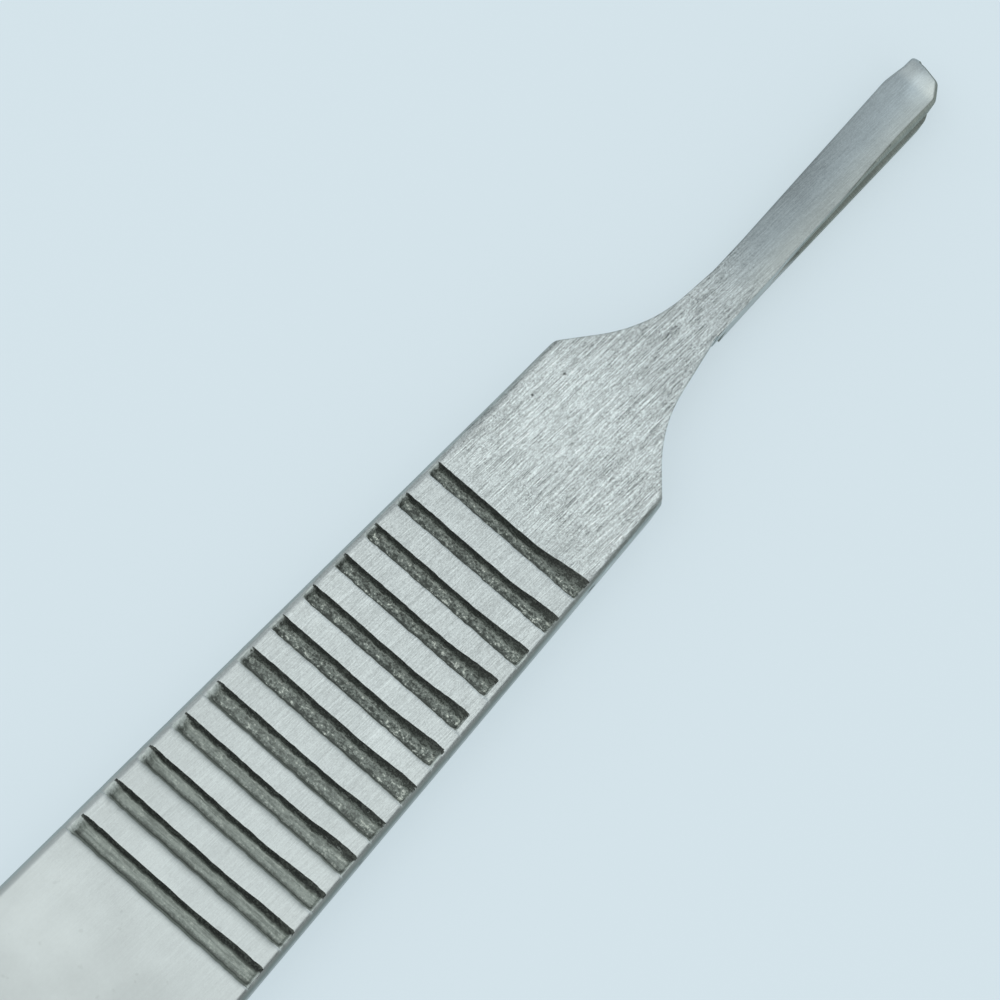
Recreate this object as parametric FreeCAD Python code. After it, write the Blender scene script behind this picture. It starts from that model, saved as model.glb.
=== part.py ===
import FreeCAD, Part
import math
import os

# Flat steel scalpel handle, forged and milled from one strip, for small-fitting blades.
# Units are millimetres. +X runs along the handle towards the blade, +Z is up out of the back
# face, and the handle lies on its front face at z = 0. The origin is the bottom centre of its box.
# Places along the handle are given as distances back from the tip of the tang.

# Overall form. The widest width is where the two straight stretches of a side would meet
overall_length = 125.0
body_thickness = 2.6
widest_width = 10.94
widest_from_tip = 66.0
widest_blend_radius = 120.0
tail_width = 7.4
tail_flat = 1.2
edge_round = 0.38

# Shoulders and neck, with the left shoulder further forward than the right one
shoulder_width = 8.64
left_shoulder_from_tip = 25.7
right_shoulder_from_tip = 28.57
left_neck_from_tip = 21.92
left_neck_half = 1.54
left_neck_radius = 9.0
right_neck_from_tip = 25.5
right_neck_half = 1.93
right_neck_radius = 8.0
neck_step_from_tip = 19.9
neck_step = 0.09

# Tang: a plain root, then a tongue that widens towards its tip
tang_width = 2.3
tang_tip_width = 2.72
left_root_from_tip = 17.3
side_slot_start_from_tip = 14.9
right_taper_length = 1.8
right_taper_radius = 1.4
right_corner_half = 0.64
right_corner_setback = 0.38
right_corner_radius = 0.5
tip_bend_offset = 0.4
tip_bend_radius = 0.8
left_taper_length = 2.7
left_taper_end = 1.2
left_taper_half = 1.17
left_taper_radius = 1.5
left_corner_radius = 0.35

# Blade fitting on the front face
back_strip_thickness = 1.1
back_strip_width = 2.2
blade_seat_from_tip = 23.0
blade_seat_angle = 30.0
boss_rear_from_tip = 18.7
boss_below_face = 0.2
side_slot_height = 0.45
web_width = 1.66
front_nose_length = 3.6
front_nose_drop = 0.75
back_nose_length = 1.7
back_nose_drop = 0.55

# Grip grooves across both faces. Each leaves a thin rim at its ends, and two a wide one on the right
groove_count = 12
groove_pitch = 2.08
first_groove_from_tip = 34.57
groove_width = 0.84
groove_floor_width = 0.44
groove_depth = 0.42
groove_end_rim = 0.26
wide_end_rim = 0.58
wide_rim_grooves = (4, 5)

# Sizes that follow from the ones above
tip_x = overall_length / 2
tail_x = -overall_length / 2
widest_x = tip_x - widest_from_tip
blade_plane_z = body_thickness - back_strip_thickness
slot_floor_z = blade_plane_z - side_slot_height
tail_radius = (tail_width - tail_flat) / 2
clear = 5.0
tolerance = 1e-4


def vec(x, y, z=0.0):
    return FreeCAD.Vector(x, y, z)


def from_tip(distance):
    return tip_x - distance


def body_half_width(x):
    """Half width of the body's straight side between its widest place and the left shoulder."""
    run = from_tip(left_shoulder_from_tip) - widest_x
    share = (x - widest_x) / run
    return (widest_width + (shoulder_width - widest_width) * share) / 2


def rounded_wire(corners):
    """Closed wire through corners (x, y, radius). Each corner with a radius becomes a tangent arc."""
    joints = []
    count = len(corners)
    for index in range(count):
        x, y, radius = corners[index]
        corner = vec(x, y)
        before = vec(*corners[index - 1][:2])
        after = vec(*corners[(index + 1) % count][:2])
        if radius <= 0:
            joints.append((corner, None, corner))
            continue
        back = (before - corner).normalize()
        ahead = (after - corner).normalize()
        half_turn = (math.pi - back.getAngle(ahead)) / 2
        reach = radius * math.tan(half_turn)
        middle = (back + ahead).normalize()
        bulge = radius / math.cos(half_turn) - radius
        joints.append((corner + back * reach, corner + middle * bulge, corner + ahead * reach))
    edges = []
    for index in range(count):
        start, middle, end = joints[index]
        if middle is not None:
            edges.append(Part.Arc(start, middle, end).toShape())
        following = joints[(index + 1) % count][0]
        if end.distanceToPoint(following) > 1e-6:
            edges.append(Part.LineSegment(end, following).toShape())
    return Part.Wire(edges)


def prism(corners, low_z, high_z):
    face = Part.Face(rounded_wire(corners))
    face.translate(vec(0, 0, low_z))
    return face.extrude(vec(0, 0, high_z - low_z))


def handle_outline():
    """Plan outline, anticlockwise from the tail, as corners with their rounding radii."""
    right_shoulder_x = from_tip(right_shoulder_from_tip)
    left_shoulder_x = from_tip(left_shoulder_from_tip)
    step_x = from_tip(neck_step_from_tip)
    slot_x = from_tip(side_slot_start_from_tip)
    tang_half = tang_width / 2
    tip_half = tang_tip_width / 2
    right_side = [
        (tail_x, -tail_width / 2, tail_radius),
        (widest_x, -widest_width / 2, widest_blend_radius),
        (right_shoulder_x, -body_half_width(right_shoulder_x), 0),
        (from_tip(right_neck_from_tip), -right_neck_half, right_neck_radius),
        (step_x, -(tang_half - neck_step), 0),
        (step_x, -tang_half, 0),
        (slot_x, -tang_half, 0),
        (from_tip(right_taper_length), -tip_half, right_taper_radius),
        (from_tip(right_corner_setback), -right_corner_half, right_corner_radius),
        (tip_x, tip_bend_offset, tip_bend_radius),
    ]
    left_side = [
        (tip_x, left_taper_half, left_corner_radius),
        (from_tip(left_taper_end), left_taper_half, left_taper_radius),
        (from_tip(left_taper_length), tip_half, left_taper_radius),
        (slot_x, tang_half, 0),
        (from_tip(left_root_from_tip), tang_half, 0),
        (from_tip(left_neck_from_tip), left_neck_half, left_neck_radius),
        (left_shoulder_x, shoulder_width / 2, 0),
        (widest_x, widest_width / 2, widest_blend_radius),
        (tail_x, tail_width / 2, tail_radius),
    ]
    return right_side + left_side


def body_edges(blank):
    """Edges of the front and back faces that run round the body, from shoulder to shoulder."""
    right_limit = from_tip(right_shoulder_from_tip)
    left_limit = from_tip(left_shoulder_from_tip)
    chosen = []
    for edge in blank.Edges:
        ends = [vertex.Point for vertex in edge.Vertexes]
        level = abs(ends[0].z - ends[-1].z) < tolerance
        limit = left_limit if ends[0].y > 0 else right_limit
        if level and max(point.x for point in ends) < limit + tolerance:
            chosen.append(edge)
    return chosen


def make_blank():
    blank = prism(handle_outline(), 0, body_thickness)
    return blank.makeFillet(edge_round, body_edges(blank))


def blade_recess():
    """Space cut from the front: the oblique seat, the floor behind the blade and the boss's outside."""
    slope = math.tan(math.radians(blade_seat_angle))
    reach_y = widest_width
    seat_x = from_tip(blade_seat_from_tip)
    end_x = tip_x + clear
    cut = prism([
        (seat_x - slope * reach_y, -reach_y, 0),
        (end_x, -reach_y, 0),
        (end_x, reach_y, 0),
        (seat_x + slope * reach_y, reach_y, 0),
    ], -clear, blade_plane_z)
    boss_x = from_tip(boss_rear_from_tip)
    kept = Part.makeBox(end_x - boss_x, 2 * reach_y, blade_plane_z - boss_below_face + clear,
                        vec(boss_x, -reach_y, boss_below_face))
    return cut.cut(kept)


def side_slot(side):
    """Slot in one side of the tongue, where the edge of the blade's own slot runs."""
    start_x = from_tip(side_slot_start_from_tip)
    corner_y = web_width / 2 if side > 0 else -web_width / 2 - clear
    return Part.makeBox(tip_x + clear - start_x, clear, side_slot_height,
                        vec(start_x, corner_y, slot_floor_z))


def back_strip_relief(side):
    """Trim that keeps the strip behind the blade narrower than the boss in front of it."""
    start_x = from_tip(side_slot_start_from_tip)
    inner = back_strip_width / 2
    root = tang_width / 2
    end_x = tip_x + clear
    corners = [(start_x, side * root, 0), (start_x + 1.0, side * inner, 0), (end_x, side * inner, 0),
               (end_x, side * (inner + clear), 0), (start_x, side * (inner + clear), 0)]
    if side < 0:
        corners.reverse()
    return prism(corners, blade_plane_z, body_thickness + clear)


def nose_cut(length, drop, face_z, outward):
    """Space beyond a convex arc that leaves a face tangentially and falls by drop at the tip."""
    radius = (length * length + drop * drop) / (2 * drop)
    angle = math.asin(length / radius)
    far = tip_x + clear

    def side_point(x, fall):
        return vec(x, -clear, face_z - outward * fall)

    start = side_point(tip_x - length, 0)
    middle = side_point(tip_x - length + radius * math.sin(angle / 2), radius * (1 - math.cos(angle / 2)))
    end = side_point(tip_x, drop)
    corners = [end, side_point(far, drop + clear * math.tan(angle)), side_point(far, -clear),
               side_point(tip_x - length, -clear), start]
    edges = [Part.Arc(start, middle, end).toShape()]
    for index in range(len(corners) - 1):
        edges.append(Part.LineSegment(corners[index], corners[index + 1]).toShape())
    return Part.Face(Part.Wire(edges)).extrude(vec(0, 2 * clear, 0))


def grip_groove(index, face_z, outward, left_rim, right_rim):
    """Tapered groove across one face, cut by a profile that widens from floor to mouth.

    Each end stops short of its side by that rim's width."""
    centre_x = from_tip(first_groove_from_tip + index * groove_pitch)
    half = body_half_width(centre_x)
    left_y = half - left_rim
    right_y = right_rim - half
    floor_half = groove_floor_width / 2
    wall_slope = (groove_width - groove_floor_width) / (2 * groove_depth)
    open_half = groove_width / 2 + wall_slope * clear
    floor_z = face_z - outward * groove_depth
    open_z = face_z + outward * clear
    profile = [
        vec(centre_x - floor_half, right_y, floor_z),
        vec(centre_x + floor_half, right_y, floor_z),
        vec(centre_x + open_half, right_y, open_z),
        vec(centre_x - open_half, right_y, open_z),
    ]
    face = Part.Face(Part.makePolygon(profile + profile[:1]))
    return face.extrude(vec(0, left_y - right_y, 0))


def make_handle():
    handle = make_blank()
    handle = handle.cut(blade_recess())
    for side in (1, -1):
        handle = handle.cut(side_slot(side))
        handle = handle.cut(back_strip_relief(side))
    handle = handle.cut(nose_cut(back_nose_length, back_nose_drop, body_thickness, 1))
    handle = handle.cut(nose_cut(front_nose_length, front_nose_drop, boss_below_face, -1))
    for index in range(groove_count):
        right_rim = wide_end_rim if index + 1 in wide_rim_grooves else groove_end_rim
        handle = handle.cut(grip_groove(index, body_thickness, 1, groove_end_rim, right_rim))
        handle = handle.cut(grip_groove(index, 0, -1, groove_end_rim, groove_end_rim))
    return handle


def main():
    os.makedirs("parts", exist_ok=True)
    handle = make_handle()
    solid = handle.Solids[0]
    solid.exportStep("parts/scalpel_handle.step")
    box = solid.BoundBox
    print("solids", len(handle.Solids), "valid", solid.isValid(), "volume", round(solid.Volume, 2))
    print("x", round(box.XMin, 3), round(box.XMax, 3), "y", round(box.YMin, 3), round(box.YMax, 3),
          "z", round(box.ZMin, 3), round(box.ZMax, 3))


main()
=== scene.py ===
"""A flat steel scalpel handle lying on its front face on a pale floor, under soft studio light.

The handle's mesh is one closed surface: cross-sections along the handle, each a ring of points, are
worked out as whole arrays and joined. It stands for the solid of the same name, and keeps its form.
Lengths in the classes are in millimetres, and become metres when the mesh is made.
"""

import logging
import math
from dataclasses import dataclass, field
from enum import Enum
from functools import partial, reduce

import bpy
import numpy as np
from mathutils import Matrix, Vector


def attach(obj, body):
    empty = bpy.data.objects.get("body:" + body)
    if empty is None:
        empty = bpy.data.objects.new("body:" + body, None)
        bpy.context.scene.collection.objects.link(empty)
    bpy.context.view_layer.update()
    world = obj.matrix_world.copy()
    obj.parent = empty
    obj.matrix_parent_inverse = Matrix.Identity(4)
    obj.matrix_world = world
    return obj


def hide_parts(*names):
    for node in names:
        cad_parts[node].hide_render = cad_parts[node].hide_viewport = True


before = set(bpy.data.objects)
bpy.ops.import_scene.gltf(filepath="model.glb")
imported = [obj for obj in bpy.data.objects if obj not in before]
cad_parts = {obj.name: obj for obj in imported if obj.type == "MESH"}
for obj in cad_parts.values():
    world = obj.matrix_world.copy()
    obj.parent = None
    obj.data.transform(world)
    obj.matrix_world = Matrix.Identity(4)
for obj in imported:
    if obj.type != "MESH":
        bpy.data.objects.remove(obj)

log = logging.getLogger("scalpel_handle")
MM = 0.001
HAIR = 1e-6

Colour = tuple[float, float, float, float]
Triple = tuple[float, float, float]
Rise = tuple[float, ...]
Waves = tuple[Triple, ...]
Socket = bpy.types.NodeSocket


class Side(Enum):
    """The two long sides of the handle, seen from the back face with the tang ahead."""

    RIGHT = -1
    LEFT = 1


class Face(Enum):
    """The two broad faces."""

    BACK = "back"
    FRONT = "front"


# Curves and noise in numbers

def smooth_step(low: float, high: float, value: np.ndarray) -> np.ndarray:
    """Rise from 0 at low to 1 at high as 3t squared less 2t cubed.

    Args:
        low: where the rise starts.
        high: where it ends.
        value: the places to work out.

    Returns:
        The share at each place.
    """
    share = np.clip((value - low) / (high - low), 0.0, 1.0)
    return share * share * (3.0 - 2.0 * share)


def round_drop(distance: np.ndarray, radius: np.ndarray | float) -> np.ndarray:
    """Fall of a rounded edge below its face: r less the root of r squared less (r - d) squared.

    Args:
        distance: the distance in from the side, d.
        radius: the edge's radius, r.

    Returns:
        The fall, which is nothing from one radius in.
    """
    reach = np.clip(radius - distance, 0.0, radius)
    return radius - np.sqrt(np.maximum(radius * radius - reach * reach, 0.0))


def ripple(place: np.ndarray, seed: np.ndarray, scale: float) -> np.ndarray:
    """Smooth irregular wave between about -1 and 1, a sum of five sines of unlike lengths.

    Args:
        place: where along a line, in millimetres.
        seed: shifts the phases, so that two waves differ.
        scale: length of the longest wave, in millimetres.

    Returns:
        The wave at each place.
    """
    lengths = scale / np.array([1.0, 1.73, 2.91, 4.67, 7.9])
    heights = np.array([0.34, 0.26, 0.18, 0.13, 0.09])
    phases = 40.0 * np.sin(seed[..., None] * np.array([12.9, 78.2, 37.7, 93.9, 51.3]))
    angle = place[..., None] * (2.0 * math.pi / lengths) + phases
    return (np.sin(angle) * heights).sum(axis=-1)


def speckle(first: np.ndarray, second: np.ndarray, seed: np.ndarray) -> np.ndarray:
    """Repeatable fine grain from 0 to 1: the fraction left by a large multiple of a sine.

    Args:
        first: one coordinate.
        second: the other coordinate, broadcast against the first.
        seed: changes the grain.

    Returns:
        The grain at each place.
    """
    raw = np.sin(first * 127.1 + second * 311.7 + seed * 74.7) * 43758.5453
    return raw - np.floor(raw)


def rounded_chain(corners: list[Triple], steps: int = 14) -> np.ndarray:
    """Line through corners, each with a radius turned into a tangent arc.

    The arc starts one radius times the tangent of half the turn from its corner. Its points go
    evenly round its centre, which lies on the line that halves the corner.

    Args:
        corners: (x, y, radius) in order. The first and last stay sharp.
        steps: points on each arc.

    Returns:
        An array of x and y.
    """
    points = [np.array(corners[0][:2])]
    for before, here, after in zip(corners, corners[1:], corners[2:]):
        corner, radius = np.array(here[:2]), here[2]
        back = np.array(before[:2]) - corner
        ahead = np.array(after[:2]) - corner
        back /= np.linalg.norm(back)
        ahead /= np.linalg.norm(ahead)
        turn = math.pi - math.acos(float(np.clip(back @ ahead, -1.0, 1.0)))
        if radius <= 0 or turn < 1e-4:
            points.append(corner)
            continue
        middle = (back + ahead) / np.linalg.norm(back + ahead)
        centre = corner + middle * radius / math.cos(turn / 2)
        start = corner + back * radius * math.tan(turn / 2) - centre
        end = corner + ahead * radius * math.tan(turn / 2) - centre
        share = np.linspace(0.0, 1.0, steps)[:, None]
        arc = (np.sin((1 - share) * turn) * start + np.sin(share * turn) * end) / math.sin(turn)
        points.extend(centre + arc)
    points.append(np.array(corners[-1][:2]))
    return np.array(points)


def distance_to_line(points: np.ndarray, line: np.ndarray) -> np.ndarray:
    """Shortest distance from each point to a line of straight runs.

    For each run, the foot of the perpendicular is kept between the run's ends.

    Args:
        points: an array whose last axis is x and y.
        line: the corners of the line.

    Returns:
        The distances, in the shape of points without its last axis.
    """
    best = np.full(points.shape[:-1], np.inf)
    for start, end in zip(line, line[1:]):
        run = end - start
        length = float(run @ run)
        if length < HAIR * HAIR:
            continue
        share = np.clip(((points - start) @ run) / length, 0.0, 1.0)
        gap = points - (start + share[..., None] * run)
        best = np.minimum(best, np.sqrt((gap * gap).sum(axis=-1)))
    return best


def add_object(name: str, data: bpy.types.ID) -> bpy.types.Object:
    """Make an object of its data, and link it to the scene."""
    thing = bpy.data.objects.new(name, data)
    bpy.context.scene.collection.objects.link(thing)
    return thing


# Sizes of the handle

@dataclass(frozen=True)
class BodyPlan:
    """Plan of the handle, with x from the tail at -62.5 to the tang's tip at 62.5.

    Corners are (x, y, radius). A shoulder is (x, radius). The shear is the slope that rings lean by
    at each place, so that they run through both shoulders and along the blade's seat.
    """

    length: float = 125.0
    thickness: float = 2.6
    widest: float = 10.93
    widest_x: float = -3.5
    widest_blend: float = 120.0
    tail_width: float = 7.4
    tail_radius: float = 3.1
    shoulder_width: float = 8.64
    right_shoulder: tuple[float, float] = (34.05, 0.16)
    left_shoulder: tuple[float, float] = (36.8, 1.0)
    body_end_x: float = 46.0
    face_round: float = 0.38
    left_fade: Rise = (32.5, 36.3)
    left_fade_share: float = 0.5
    neck_round: float = 0.07
    worn_round: float = 0.15
    worn_from: Rise = (53.0, 58.5)
    shear_x: tuple[float, ...] = (29.0, 35.43, 39.5, 42.57)
    shear_slope: tuple[float, ...] = (0.0, 0.318, 0.57735, 0.0)
    right_ahead: tuple[Triple, ...] = (
        (37.05, -1.99, 8.0), (42.6, -1.10, 0), (42.606, -1.16, 0), (47.6, -1.15, 0),
        (60.7, -1.36, 1.4), (62.12, -0.64, 0.5), (62.5, 0.4, 0.8), (62.501, 0.6, 0))
    left_ahead: tuple[Triple, ...] = (
        (40.58, 1.54, 9.0), (45.2, 1.15, 0), (47.6, 1.15, 0), (59.8, 1.36, 1.5),
        (61.3, 1.17, 1.5), (62.5, 1.17, 0.35), (62.501, 0.8, 0))
    strip_right: tuple[Triple, ...] = (
        (47.6, -1.15, 0), (48.6, -1.10, 0), (55.5, -1.10, 6.0), (58.4, -1.16, 6.0),
        (60.9, -1.22, 1.0), (62.12, -0.64, 0.5), (62.5, 0.4, 0.8), (62.501, 0.6, 0))

    @property
    def tip_x(self) -> float:
        """Where the tang ends."""
        return self.length / 2

    def half_width(self, x: np.ndarray) -> np.ndarray:
        """Half width of the body's straight side ahead of its widest place."""
        share = (x - self.widest_x) / (self.left_shoulder[0] - self.widest_x)
        return (self.widest + (self.shoulder_width - self.widest) * share) / 2

    def worn_width(self, x: np.ndarray) -> np.ndarray:
        """Width of the worn edge on the right, which grows to 0.22 mm towards the tip."""
        return self.neck_round + self.worn_round * smooth_step(*self.worn_from, x)

    def side_line(self, side: Side, ahead: tuple[Triple, ...]) -> np.ndarray:
        """One side of the outline, from the middle of the tail on, with x rising all the way.

        Args:
            side: which side.
            ahead: its corners from the shoulder on.

        Returns:
            An array of x and y.
        """
        half, end = side.value / 2, -self.tip_x
        tail = [(end, 0.0, 0), (end, half * self.tail_width, self.tail_radius),
                (self.widest_x, half * self.widest, self.widest_blend)]
        return rounded_chain(tail + list(ahead))

    def outline(self, side: Side) -> np.ndarray:
        """One side of the outline from the tail to the tip.

        Args:
            side: which side.

        Returns:
            An array of x and y.
        """
        x, radius = self.right_shoulder if side is Side.RIGHT else self.left_shoulder
        ahead = self.right_ahead if side is Side.RIGHT else self.left_ahead
        shoulder = (x, side.value * float(self.half_width(np.array(x))), radius)
        return self.side_line(side, (shoulder,) + ahead)

    def face_line(self, side: Side) -> np.ndarray:
        """The body's side carried on past its shoulder, which the face's rounded edge follows."""
        far = side.value * float(self.half_width(np.array(self.body_end_x)))
        return self.side_line(side, ((self.body_end_x, far, 0),))


@dataclass(frozen=True)
class BladeFitting:
    """Heights and places of the blade's seat, boss and side slots."""

    strip_bottom: float = 1.5
    least_strip: float = 0.2
    seat_x: float = 39.5
    boss_rear_x: float = 43.8
    boss_bottom: float = 0.2
    slot_x: float = 47.6
    slot_floor: float = 1.05
    ledge: float = 0.02
    web_half: float = 0.83
    tang_half: float = 1.15
    relief_run: float = 1.0
    left_relief: float = 0.25
    tip_ends: tuple[float, float] = (0.5, 0.85)
    back_nose: tuple[float, float] = (2.2, 0.55)
    front_nose: tuple[float, float] = (3.6, 0.75)


@dataclass(frozen=True)
class GripGrooves:
    """The grooves across both faces, with how each one's edges and ends stray.

    Each list runs from the groove next to the neck. Upper means the edge on the tang's side.
    Stations are the rings' places about a groove's middle, and marks are the ends, the mouth and
    the floor among them. A wave is (height, seed, length). Tailward rises are over the number.
    """

    count: int = 12
    pitch: float = 2.08
    first_x: float = 27.93
    half_mouth: float = 0.42
    half_floor: float = 0.22
    depth: float = 0.42
    upper: tuple[float, ...] = (.39, .31, .29, .31, .33, .40, .46, .37, .43, .42, .42, .44)
    lower: tuple[float, ...] = (
        -.40, -.50, -.55, -.50, -.50, -.47, -.48, -.57, -.46, -.42, -.41, -.49)
    flare: tuple[float, ...] = (.34, .20, .17, .22, .18, .18, .12, .12, .18, .15, .12, .12)
    flare_run: Rise = (-1.2, -4.1)
    left_end: tuple[float, ...] = (.38, .36, .36, .36, .36, .36, .38, .46, .40, .38, .36, .40)
    right_end: tuple[float, ...] = (.30, .30, .36, .56, .56, .42, .30, .30, .32, .32, .32, .32)
    corner: tuple[float, ...] = (.01, .01, .012, .015, .02, .02, .025, .035, .04, .045, .05, .06)
    stations: tuple[float, ...] = (
        -.80, -.62, -.52, -.47, -.44, -.42, -.39, -.35, -.29, -.245, -.21, -.15, -.08, -.01, .06,
        .13, .19, .225, .26, .30, .34, .38, .41, .43, .455, .50, .60, .80, 1.04)
    marks: tuple[float, ...] = (-.80, -.42, -.25, .225, .42, 1.04)
    upper_waves: Waves = ((0.022, 0.3, 3.1), (0.014, 7.7, 0.7))
    lower_waves: Waves = ((0.030, 3.9, 2.3), (0.018, 5.1, 0.6))
    foot_waves: Waves = ((0.045, 9.1, 1.1),)
    foot_share: float = 0.6
    foot_shift: float = 0.04
    floor_share: float = 0.8
    end_waves: Waves = ((0.05, 2.2, 0.9),)
    left_close: Triple = (-0.12, 0.16, 0.30)
    left_tailward: Rise = (3.0, 9.0)
    right_close: Rise = (-0.07, 0.12)
    rough: float = 0.035
    rough_cells: tuple[float, float] = (9.0, 14.0)
    rough_wall: Rise = (0.75, 1.0)
    corner_reach: float = 0.11
    corner_wall: Rise = (-0.1, 0.2)
    lip_tailward: Rise = (3.0, 8.0)
    lip_width: tuple[float, float] = (0.10, 0.26)
    lip_share: tuple[float, float] = (0.25, 0.45)
    lip_fade: float = 1.5
    lip_start: float = -0.01

    def centre(self, index: np.ndarray) -> np.ndarray:
        """Where a groove's middle is along the handle."""
        return self.first_x - self.pitch * index

    def stray(self, place: np.ndarray, number: np.ndarray, waves: Waves) -> np.ndarray:
        """Sum of irregular waves along a line, each groove with its own."""
        return sum(height * ripple(place, number + seed, length) for height, seed, length in waves)


@dataclass(frozen=True)
class HandleRings:
    """Rings along the handle: their places, each one's groove or -1, and its place in that."""

    x: np.ndarray
    groove: np.ndarray
    local: np.ndarray

    @property
    def rows(self) -> np.ndarray:
        """Which rings are in a groove."""
        return np.nonzero(self.groove >= 0)[0]

    @property
    def number(self) -> np.ndarray:
        """The groove of each ring that is in one, as a column."""
        return self.groove[self.rows][:, None]

    @property
    def place(self) -> np.ndarray:
        """The place in its groove of each ring that is in one, as a column."""
        return self.local[self.rows][:, None]

    def of_each(self, values: tuple[float, ...]) -> np.ndarray:
        """The value of its groove for each ring that is in one, as a column."""
        return np.array(values)[self.number]


@dataclass(frozen=True)
class SideLines:
    """One side of every ring: y of the outline, of the strip's edge and of the web's side."""

    outline: np.ndarray
    strip: np.ndarray
    web: np.ndarray


@dataclass(frozen=True)
class MilledAndPaintedEdgeShade:
    """How much of the dull milled finish and of painted dark edge lines shows, from 0 to 1, on the
    sides and the rounded edges.

    The lists go round the right edge from the side to the face, well behind the neck and near it.
    They, the left edge's share and the band on the strip's right edge towards the tip paint the
    dark line that the rounded edges show as a reflection.
    """

    neck: Rise = (34.5, 36.5)
    near_neck: Rise = (23.0, 29.0)
    root: Rise = (48.3, 50.3)
    left: float = 0.60
    left_neck: float = 0.25
    right: float = 0.64
    right_near: float = 0.20
    right_neck: float = 0.09
    # left_edge, broad, thin and band paint the dark reflection lines along the rounded edges
    left_edge: tuple[float, float] = (0.15, 0.70)
    broad: tuple[float, ...] = (0.55, 0.60, 0.72, 0.80, 0.80, 0.62, 0.12, 0.0)
    thin: tuple[float, ...] = (0.30, 0.30, 0.30, 0.36, 0.72, 0.80, 0.45, 0.0)
    band: Rise = (0.03, -0.05)
    band_from: Rise = (51.0, 55.0)
    lip_in: Rise = (0.3, 0.7)


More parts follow.
